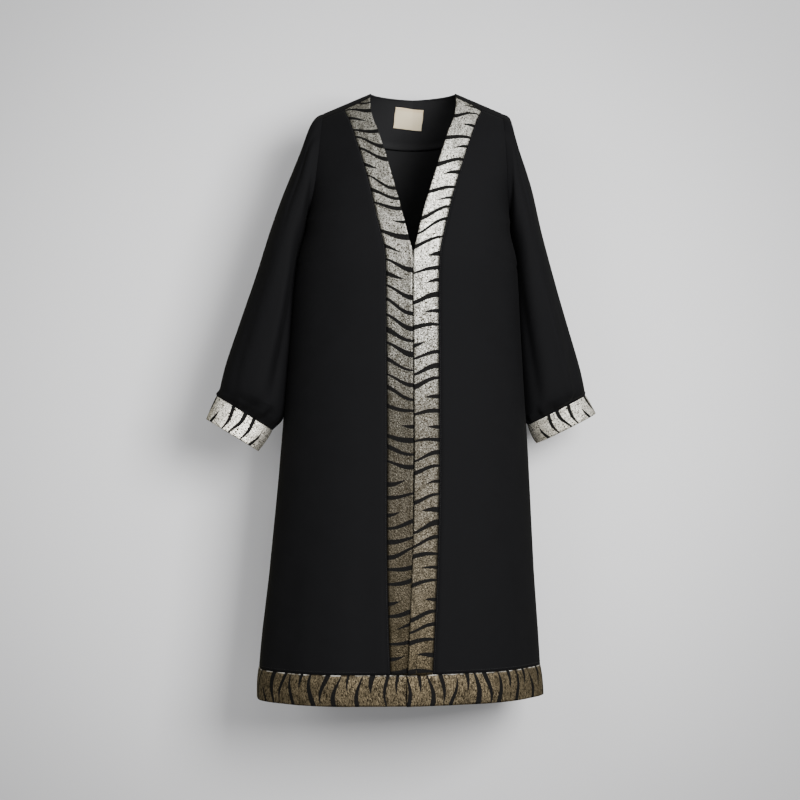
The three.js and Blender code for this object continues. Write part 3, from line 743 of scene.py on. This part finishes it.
# A long stroke crosses the band and thins at its far end; a short one tapers to a point.
short_end = times_plus(draw[2], *SHORT_ENDS)
is_short = times(odd, calc("LESS_THAN", draw[3], get["Short"]))
long_end = times(get["Reach"], times_plus(draw[4], *LONG_ENDS))
reach = times_plus(is_short, minus(short_end, long_end), long_end)
gone = calc("DIVIDE", from_side, reach, clamp=True)
taper = calc("POWER", minus(1.0, calc("POWER", gone, 1.8), clamp=True), 0.9)
swell = times_plus(draw[0], 0.36, times_plus(is_short, -0.16, 0.84))
half_thick = times(times(taper, swell),
                   calc("DIVIDE", times(get["Thickness"], 0.5), get["Pitch"]))
own_bend = times(minus(draw[3], 0.5), times(s_curve, get["Swing"]))
own_shift = times(minus(draw[2], 0.5), 0.16)
off = calc("ABSOLUTE", minus(minus(within, own_shift), own_bend))
mask = times_plus(minus(half_thick, off), EDGE_SHARPNESS, 0.5, clamp=True)
feed(strokes_out, {"Mask": times(mask, calc("GREATER_THAN", half_thick, THINNEST))})

# The foil face breaks into fine cracks where the cloth bends. Foil is left along winding lines,
# about the middle of a noise, between which the dark ground shows.
LINE_MIDDLE, LINE_CONTRAST = 0.53, (-9.0, 0.98)
PATCH_SCALE, PATCH_LENGTH = 90.0, 0.35
foil, foil_in, foil_out = shader_group(
    "crackled foil", {"Cloth": None, "Crack": 0.0022, "Streak": 1.0}, ("Tone", "Height", "Patch"))
foil_scale = calc("DIVIDE", 1.0, foil_in["Crack"])
drawn_out = stretch(foil_in["Cloth"], foil_in["Streak"])
fleck = noise(drawn_out, foil_scale, 2.0, 0.60, 0.9)
cracks = put(foil, "ShaderNodeTexVoronoi",
             {"Vector": drawn_out, "Scale": times(foil_scale, 0.55), "Randomness": 1.0},
             feature="DISTANCE_TO_EDGE")
opened = times(cracks.outputs["Distance"], 5.0, clamp=True)
winding = calc("ABSOLUTE", minus(fleck, LINE_MIDDLE))
sharp = times_plus(winding, *LINE_CONTRAST, clamp=True)
feed(foil_out, {"Tone": times(sharp, times_plus(opened, 0.35, 0.65)),
                "Height": times_plus(opened, 0.5, fleck),
                "Patch": noise(stretch(foil_in["Cloth"], 1.0, PATCH_LENGTH), PATCH_SCALE, 4.0,
                               0.6)})

FOIL_DARK, FOIL_SILVER = (0.028, 0.024, 0.016), (0.90, 0.88, 0.81)
FOIL_SHADE_GILT, FOIL_GILT = (0.024, 0.019, 0.011), (0.62, 0.49, 0.30)
STROKE_COLOUR = (0.0060, 0.0059, 0.0057)
# The middle pair of heights is where the foil's painted light goes from its level below the waist to
# its level above.
GILDING_Z, PAINTED_LIGHT_Z, NECK_LEAN_Z = (-0.50, -1.05), (-0.56, -0.20), (-0.20, -0.01)
CRACK = 0.0027
# What a value is multiplied by and what is added, to sharpen it: the worn patches, the turned
# edge at the top of a band, where a glint is painted, and the patches that break that glint.
WORN_PATCHES, TURNED_EDGE, EDGE_PATCHES = (2.6, -0.42), (40.0, -38.4), (7.0, -3.2)


def metallic_cloth(name, width, seed, stroke, lean, painted_light_levels, lean_z=(-0.5, -0.7), lean_neck=0.0,
                   streak=1.0, fold_glint=0.0, metal_share=0.85):
    """stroke holds the strokes' own sizes. Their lean goes from lean[0] to lean[1] between the
    heights in lean_z, with lean_neck more at the neck. The pair after lean is painted light:
    how brightly the foil is painted above and below the waist. fold_glint paints a silver
    highlight, a painted glint, along the turned edge at the top of the band."""
    material, tree, shader = new_material(name)
    cloth_map = put(tree, "ShaderNodeUVMap", uv_map="cloth").outputs[0]
    uv = put(tree, "ShaderNodeSeparateXYZ", {0: cloth_map}).outputs
    where = put(tree, "ShaderNodeTexCoord").outputs["Object"]
    z = put(tree, "ShaderNodeSeparateXYZ", {0: where}).outputs["Z"]
    slant = plus(grade(z, lean_z[1], lean_z[0], lean[1], lean[0], "SMOOTHSTEP"),
                 grade(z, *NECK_LEAN_Z, 0.0, lean_neck))
    mask = put(tree, "ShaderNodeGroup", {"Across": uv["X"], "Along": uv["Y"], "Lean": slant,
                                         "Seed": seed, **stroke}, node_tree=strokes).outputs["Mask"]
    flat = put(tree, "ShaderNodeCombineXYZ",
               {"X": times(uv["X"], width), "Y": uv["Y"], "Z": seed}).outputs[0]
    face = put(tree, "ShaderNodeGroup", {"Cloth": flat, "Crack": CRACK, "Streak": streak},
               node_tree=foil).outputs
    gilding = grade(z, *GILDING_Z)
    bright = blend_colour(gilding, FOIL_SILVER, FOIL_GILT)
    shade = blend_colour(gilding, FOIL_DARK, FOIL_SHADE_GILT)
    patchy = times_plus(face["Patch"], *WORN_PATCHES, clamp=True)
    # Painted light: the foil's tone is scaled by height, painted brighter high up and darker towards
    # the hem, at the levels given for each piece.
    tone = times(times(face["Tone"], patchy), grade(z, *PAINTED_LIGHT_Z, painted_light_levels[1], painted_light_levels[0]), clamp=True)
    # A painted glint: a silver highlight along the turned top edge, broken into patches.
    turned = times(times_plus(uv["X"], *TURNED_EDGE, clamp=True),
                   times_plus(face["Patch"], *EDGE_PATCHES, clamp=True))
    metal = blend_colour(tone, shade, bright)
    metal = blend_colour(times(turned, fold_glint), metal, FOIL_SILVER)
    rough = times_plus(face["Tone"], -0.16, 0.52)
    feed(shader, {"Base Color": blend_colour(mask, metal, STROKE_COLOUR),
                  "Metallic": times(minus(1.0, mask), metal_share),
                  "Roughness": times_plus(mask, 0.20, rough), "Specular IOR Level": 0.05,
                  "Normal": bump(face["Height"], 0.60, 0.0008)})
    return material


def proud(share, start, span, power=0.55):
    """How far a doubled band stands out, at a share of the way across it. start and span are the
    part of a full swell that it has."""
    return BAND_PUFF * np.sin(np.pi * np.clip(start + share * span, 0, 1)) ** power


def even_run(grid, axis):
    """Distance run along a band, the same right across it, so that its pattern lies square."""
    run = lengths(grid, axis).mean(axis=1 - axis, keepdims=True)
    return np.repeat(run, grid.shape[1 - axis], axis=1 - axis)


# The pair after each lean is painted light: the left front's band, on the lamp's side, is painted
# brighter than the right's, and both darker towards the hem.
band_materials = {
    "right": metallic_cloth("metallic cloth, right front", BAND_WIDTH, 3.0,
                            {"Pitch": 0.0262, "Bow": -0.0022, "Thickness": 0.0088},
                            (0.016, -0.014), (0.82, 0.11), (-0.55, -0.78), lean_neck=0.021),
    "left": metallic_cloth("metallic cloth, left front", BAND_WIDTH, 41.0,
                           {"Pitch": 0.0258, "Bow": 0.0022, "Thickness": 0.0088},
                           (0.023, 0.010), (1.50, 0.19), (-0.27, -0.40)),
}
for side_name, whole in front_grids.items():
    band = whole[:, PANEL_STEPS:]
    from_seam = lengths(band, 1)
    across = from_seam[:, -1:]
    # The folded free edge stands up a little, and the cloth falls away from it.
    raised = FOLD_RISE * np.exp(-(across - from_seam) / FOLD_REACH)
    band = move_out(band, axis_points(band),
                    proud(from_seam / across, 0.0, 0.80) + raised + dip(from_seam))
    from_seam = lengths(band, 1)
    uv = np.stack([1 - from_seam / from_seam[:, -1:], even_run(band, 0)], axis=-1)
    piece = cloth(f"front_band_{side_name}", [(band, uv, axis_points(band))],
                  band_materials[side_name], BAND_WALL)
    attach(piece, "root")
    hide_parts(f"front_border_{side_name}")


# ---- Cuffs -------------------------------------------------------------------------------------
# Straight cuffs of the metallic cloth, doubled, which the sleeves are gathered into.

CUFF_WIDTH, CUFF_MOUTH = 0.046, 13    # the mouth's place in the sleeve's sections
CUFF_STATIONS = np.linspace(CUFF_SECTION, CUFF_MOUTH, 20)
# The cuffs' foil level paints them bright all over, painted light for their lit, rounded faces.
cuff_material = metallic_cloth("metallic cloth, cuffs", CUFF_WIDTH, 87.0,
                               {"Pitch": 0.0225, "Bow": -0.0030, "Thickness": 0.0080,
                                "Reach": 1.25, "Short": 0.55}, (0.006, 0.006), (3.8, 3.8))
for side_name in ("right", "left"):
    tube = sleeve_grid(side_name, CUFF_STATIONS)
    down = lengths(tube, 0)
    share = down / down[-1:]
    tube = move_out(tube, arm_middle(tube), proud(share, 0.0, 0.95) + dip(down))
    uv = np.stack([share, even_run(tube, 1)], axis=-1)
    piece = cloth(f"cuff_{side_name}_cloth", [(tube, uv, arm_middle(tube))], cuff_material, BAND_WALL)
    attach(piece, "root")
    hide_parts(f"cuff_{side_name}")


# ---- Hem bands ---------------------------------------------------------------------------------
# The hem is bound with a deeper band of the same cloth: one piece on each front, across the
# front band's own width, and one on the back. Its top edge is turned and sewn to the crepe.

# The hem's foil is painted at a third of the full level: painted shade low on the coat.
hem_material = metallic_cloth("metallic cloth, hem", HEM_BORDER, 131.0,
                              {"Pitch": 0.0218, "Bow": -0.0042, "Thickness": 0.0082,
                               "Reach": 1.12, "Swing": 1.1, "Short": 0.5}, (0.002, 0.002),
                              (0.33, 0.33), streak=0.45, fold_glint=0.9, metal_share=0.45)
HEM_CUT_STEP = 0.8                # each length is cut from so much further along the cloth
hem_grids = {"left": front_grid(1, HEM_LEVELS), "right": front_grid(-1, HEM_LEVELS),
             "back": back_grid(HEM_LEVELS)}
for number, (name, grid) in enumerate(hem_grids.items()):
    up = lengths(grid, 0)
    share = up / up[-1:]
    grid = move_out(grid, axis_points(grid), proud(share, 0.04, 0.93, 0.5) + dip(up[-1:] - up))
    uv = np.stack([share, HEM_CUT_STEP * number + even_run(grid, 1)], axis=-1)
    piece = cloth(f"hem_band_{name}", [(grid, uv, axis_points(grid))], hem_material, BAND_WALL)
    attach(piece, "root")
    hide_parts(f"hem_border_{name}")


# ---- Neck facing and label ---------------------------------------------------------------------
# Inside the back neck lies a crepe facing, deepest at centre back, with a rolled lower edge. A
# bare label of cream satin is sewn to it, a little askew, and its edges have yellowed.

FACING_IN = 0.0026                # from the back's outer face to the facing's own face
FACING_LOW, FACING_RISE = 6.9 / 12, 0.5 / 12
FACING_ROWS, FACING_WALL = 46, 0.0010
FINE_FROM, FINE_ROWS = 0.4, 121   # the rows of the back that it is worked out from
# The rolled lower edge and the groove above it: height, place above the edge, and half width.
FACING_ROLL, FACING_GROOVE = (0.0036, 0.0040, 0.0045), (-0.0006, 0.0145, 0.004)
BEHIND = np.array([0.0, 0.2, 0.0])

facing_half = HALF_STEPS // 2     # it spans the middle half of the back's columns
columns = np.arange(HALF_STEPS - facing_half, HALF_STEPS + facing_half + 1)
fine_levels = np.linspace(FINE_FROM, 1, FINE_ROWS)
upper_back = back_grid(fine_levels)
upper_normals = grid_normals(upper_back, axis_points(upper_back))
low = FACING_LOW + FACING_RISE * (np.abs(columns - HALF_STEPS) / facing_half) ** 2
facing, facing_normals = np.zeros((2, FACING_ROWS, len(columns), 3))
for k, column in enumerate(columns):
    at = (np.linspace(low[k], 1, FACING_ROWS) - fine_levels[0]) / (fine_levels[1] - fine_levels[0])
    i = np.clip(np.floor(at).astype(int), 0, len(fine_levels) - 2)
    t = (at - i)[:, None]
    for made, source in ((facing, upper_back), (facing_normals, upper_normals)):
        made[:, k] = source[i, column] * (1 - t) + source[i + 1, column] * t
rolled = lengths(facing, 0)
roll = sum(height * bell(rolled - place, width)
           for height, place, width in (FACING_ROLL, FACING_GROOVE))
facing = facing - facing_normals * (FACING_IN + roll)[..., None]
facing_piece = cloth("neck_facing_cloth", [(facing, cloth_uv(facing), facing + BEHIND)],
                     wrong_side_crepe_with_painted_fill, FACING_WALL)
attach(facing_piece, "root")
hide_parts("neck_facing")

LABEL_WIDTH, LABEL_HEIGHT, LABEL_X, LABEL_Z, LABEL_TILT = 0.0550, 0.0375, -0.008, -0.0064, -6
LABEL_WALL, LABEL_WAVE, LABEL_BILLOW = 0.0006, 0.0004, 0.0009
LABEL_IN = FACING_IN + 0.0014
label_u, label_v = np.meshgrid(np.linspace(-0.5, 0.5, 58), np.linspace(-0.5, 0.5, 41))
tilt = math.radians(LABEL_TILT)
edge_wave = LABEL_WAVE * np.sin(label_v * 9 + 1) * np.sign(label_u)
across, upright = label_u * LABEL_WIDTH + edge_wave, label_v * LABEL_HEIGHT
label_x = LABEL_X + across * math.cos(tilt) - upright * math.sin(tilt)
label_z = LABEL_Z + across * math.sin(tilt) + upright * math.cos(tilt)
label = []
for x_line, z_line in zip(label_x, label_z):
    line = []
    for x, z in zip(x_line, z_line):
        row = {"face": 1, "height": lambda v, z=z: np.full_like(np.asarray(v, float), z),
               "half": float(body_at("half", z)), "square": float(body_at("square", z))}
        line.append(body_points(row, np.array([x]))[0])
    label.append(line)
label = hang(np.array(label))
corner = np.clip(np.abs(label_u) * 2, 0, 1) ** 6 * np.clip(np.abs(label_v) * 2, 0, 1) ** 6
billow = (LABEL_BILLOW * np.cos(np.pi * label_u) * np.cos(np.pi * label_v)
          + LABEL_WAVE * np.sin(label_u * 8))
label = move_out(label, axis_points(label), LABEL_WAVE * corner - LABEL_IN - billow)

LABEL_CREAM, LABEL_WORN = (0.98, 0.85, 0.60), (0.82, 0.62, 0.36)
WORN_EDGE = (9.0, -3.85)
label_material, tree, shader = new_material("cream satin label")
label_map = put(tree, "ShaderNodeUVMap", uv_map="cloth").outputs[0]
threads = put(tree, "ShaderNodeGroup", {"Cloth": label_map, "Thread": 0.0008, "Slub": 6.0},
              node_tree=grain).outputs
split = put(tree, "ShaderNodeSeparateXYZ", {0: label_map}).outputs
from_middle = [calc("ABSOLUTE", minus(calc("DIVIDE", split[axis], size), 0.5))
               for axis, size in (("X", LABEL_WIDTH), ("Y", LABEL_HEIGHT))]
edge = times_plus(calc("MAXIMUM", *from_middle), *WORN_EDGE, clamp=True)
worn = times_plus(threads["Height"], 0.12, times(edge, threads["Unevenness"]), clamp=True)
feed(shader, {"Base Color": blend_colour(worn, LABEL_CREAM, LABEL_WORN),
              "Normal": bump(threads["Height"], 0.3, 0.0003), "Roughness": 0.48,
              "Sheen Weight": 0.15})
label_piece = cloth("neck_label_cloth", [(label, cloth_uv(label), label + BEHIND)],
                    label_material, LABEL_WALL)
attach(label_piece, "root")
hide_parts("neck_label")


# ---- Stitching ---------------------------------------------------------------------------------
# Lockstitch in black thread runs beside each band's seam, on the crepe. Every stitch is a short
# raised length of thread, laid along its line by one rule.

THREAD = 0.00034
STITCH, STITCH_COVER = 0.0034, 0.78    # a stitch's length, and the share of it that shows
STITCH_INSET, STITCH_LIFT = 0.0024, 0.00012
THREAD_DARK, THREAD_LIGHT = (0.010, 0.010, 0.011), (0.030, 0.030, 0.032)

thread_material, tree, shader = new_material("black thread")
twist = noise(put(tree, "ShaderNodeTexCoord").outputs["Object"], 2600.0, 2.0, 0.5)
feed(shader, {"Base Color": blend_colour(twist, THREAD_DARK, THREAD_LIGHT), "Roughness": 0.5})

stitch_tree = bpy.data.node_groups.new("row of stitches", "GeometryNodeTree")
sockets = {}
for socket_name, kind in (("Line", "NodeSocketGeometry"), ("Stitch", "NodeSocketFloat"),
                          ("Thread", "NodeSocketFloat"), ("Cover", "NodeSocketFloat")):
    sockets[socket_name] = stitch_tree.interface.new_socket(
        name=socket_name, in_out="INPUT", socket_type=kind).identifier
stitch_tree.interface.new_socket(name="Stitches", in_out="OUTPUT", socket_type="NodeSocketGeometry")
add = partial(put, stitch_tree)
stitch_in = add("NodeGroupInput").outputs
as_curve = add("GeometryNodeMeshToCurve", {"Mesh": stitch_in["Line"]}).outputs[0]
spaced = add("GeometryNodeResampleCurve", {"Curve": as_curve, "Length": stitch_in["Stitch"]},
             mode="LENGTH").outputs[0]
turned = add("FunctionNodeAlignRotationToVector",
             {"Vector": add("GeometryNodeInputTangent").outputs[0]}, axis="Z").outputs[0]
bead = add("GeometryNodeMeshUVSphere", {"Segments": 6, "Rings": 4, "Radius": 0.5}).outputs["Mesh"]
bead_size = add("ShaderNodeCombineXYZ",
                {"X": stitch_in["Thread"], "Y": stitch_in["Thread"],
                 "Z": times(stitch_in["Stitch"], stitch_in["Cover"])}).outputs[0]
laid = add("GeometryNodeInstanceOnPoints", {"Points": spaced, "Instance": bead,
                                            "Rotation": turned, "Scale": bead_size}).outputs[0]
whole_row = add("GeometryNodeRealizeInstances", {"Geometry": laid}).outputs[0]
coloured = add("GeometryNodeSetMaterial", {"Geometry": whole_row, "Material": thread_material})
add("NodeGroupOutput", {0: coloured.outputs[0]})


def stitch_rows(name, lines):
    """One object with a stitch line along each list of points."""
    points, edges = [], []
    for line in lines:
        start = len(points)
        points.extend(np.asarray(line).tolist())
        edges.extend((start + k, start + k + 1) for k in range(len(line) - 1))
    mesh = bpy.data.meshes.new(name)
    mesh.from_pydata(points, edges, [])
    piece = add_object(name, mesh)
    modifier = piece.modifiers.new("stitches", "NODES")
    modifier.node_group = stitch_tree
    for socket_name, value in (("Stitch", STITCH), ("Thread", THREAD), ("Cover", STITCH_COVER)):
        modifier[sockets[socket_name]] = value
    bpy.context.view_layer.update()
    made = bpy.data.meshes.new_from_object(
        piece.evaluated_get(bpy.context.evaluated_depsgraph_get()))
    piece.modifiers.clear()
    piece.data = made
    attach(piece, "root")


front_lines, hem_lines = [], []
for whole in front_grids.values():
    panel = whole[:, :PANEL_STEPS + 1]
    from_seam = lengths_back(panel, 1)
    panel = move_out(panel, axis_points(panel), dip(from_seam))
    raised = move_out(panel, axis_points(panel), STITCH_LIFT)
    front_lines.append([[np.interp(STITCH_INSET, away[::-1], row[::-1, k]) for k in range(3)]
                        for away, row in zip(from_seam, raised)])
    hem_lines.append(raised[1][:-2])
hem_lines.append(move_out(back, axis_points(back), STITCH_LIFT)[1])
stitch_rows("stitches_front", front_lines)
stitch_rows("stitches_hem", hem_lines)


# ---- Studio ------------------------------------------------------------------------------------
# A pale paper wall close behind the coat, seen only from its front. A large soft light stands on
# the viewer's right, with weak ones in front and on the left. The even, pale room is darker on
# the left, and only the shining cloth sees that.

WALL_Y, WALL_HALF = 0.182, 7.0
wall_mesh = bpy.data.meshes.new("paper_wall")
wall_mesh.from_pydata([(x * WALL_HALF, WALL_Y, z * WALL_HALF)
                       for x, z in ((-1, -1), (1, -1), (1, 1), (-1, 1))], [], [(0, 1, 2, 3)])
wall = add_object("paper_wall", wall_mesh)
# The paper is painted darker towards its edges, a painted fall-off of light, and its palest place
# sits a little to the viewer's left, painted to even out the lamp on the right.
PAPER_PAINTED_LIGHT_MIDDLE, PAPER_PAINTED_FALLOFF = (-0.10, 0.0, -0.56), (0.35, 1.25)
PAPER_PALE, PAPER_PAINTED_SHADE = (0.95, 0.95, 0.955), (0.52, 0.52, 0.525)
paper, tree, shader = new_material("pale paper")
where = put(tree, "ShaderNodeTexCoord").outputs["Object"]
spot = put(tree, "ShaderNodeVectorMath", {0: where, 1: PAPER_PAINTED_LIGHT_MIDDLE}, operation="SUBTRACT")
far = put(tree, "ShaderNodeVectorMath", {0: stretch(spot.outputs[0], 1.0, 0.0)},
          operation="LENGTH").outputs["Value"]
# Painted shade: the paper darkens with distance from its palest place.
feed(shader, {"Base Color": blend_colour(grade(far, *PAPER_PAINTED_FALLOFF, kind="SMOOTHSTEP"),
                                         PAPER_PALE, PAPER_PAINTED_SHADE),
              "Roughness": 0.95, "Specular IOR Level": 0.05})
either = put(tree, "ShaderNodeMixShader",
             {0: put(tree, "ShaderNodeNewGeometry").outputs["Backfacing"], 1: shader.outputs[0],
              2: put(tree, "ShaderNodeBsdfTransparent").outputs[0]})
feed(tree.nodes["Material Output"], {"Surface": either.outputs[0]})
wall_mesh.materials.append(paper)
wall.visible_glossy = False

world = bpy.data.worlds.new("pale room")
bpy.context.scene.world = world
world.use_nodes = True
tree = world.node_tree
ROOM_EVEN, ROOM_SEEN = (0.38, 0.38, 0.385), (0.76, 0.76, 0.765)
# What the shining cloth reflects: brighter above and to the viewer's right.
ROOM_DARK, ROOM_BRIGHT = (0.21, 0.198, 0.13), (1.30, 1.30, 1.26)
BRIGHT_SIDE, BRIGHT_FROM = (0.50, -0.50, 0.70), (0.10, 0.88)
towards = put(tree, "ShaderNodeTexCoord").outputs["Generated"]
facing_bright = put(tree, "ShaderNodeVectorMath", {0: towards, 1: BRIGHT_SIDE},
                    operation="DOT_PRODUCT").outputs["Value"]
reflected = blend_colour(grade(facing_bright, *BRIGHT_FROM, kind="SMOOTHSTEP"),
                         ROOM_DARK, ROOM_BRIGHT)
path = put(tree, "ShaderNodeLightPath").outputs
unseen = blend_colour(path["Is Glossy Ray"], ROOM_EVEN, reflected)
feed(tree.nodes["Background"], {"Color": blend_colour(path["Is Camera Ray"], unseen, ROOM_SEEN),
                                "Strength": 1.0})


def soft_light(name, place, aim, size, watts):
    lamp = bpy.data.lights.new(name, "AREA")
    lamp.size, lamp.energy = size, watts
    holder = add_object(name, lamp)
    holder.location = place
    towards = Vector(aim) - Vector(place)
    holder.rotation_euler = towards.to_track_quat("-Z", "Y").to_euler()


soft_light("key", (1.12, -2.50, 0.08), (0.0, 0.0, -0.50), 1.2, 112)
soft_light("front fill", (0.1, -3.3, 0.40), (0.0, 0.0, -0.40), 1.3, 10)
soft_light("left fill", (-1.7, -2.5, 0.12), (0.0, 0.0, -0.80), 1.3, 19)

CAMERA_PLACE, LENS, SENSOR = (-0.0243, -3.7, -0.542), 89.1, 36.0
camera = bpy.data.cameras.new("camera")
camera.lens, camera.sensor_width = LENS, SENSOR
camera_holder = add_object("camera", camera)
camera_holder.location = CAMERA_PLACE
camera_holder.rotation_euler = (math.pi / 2, 0, 0)
bpy.context.scene.camera = camera_holder
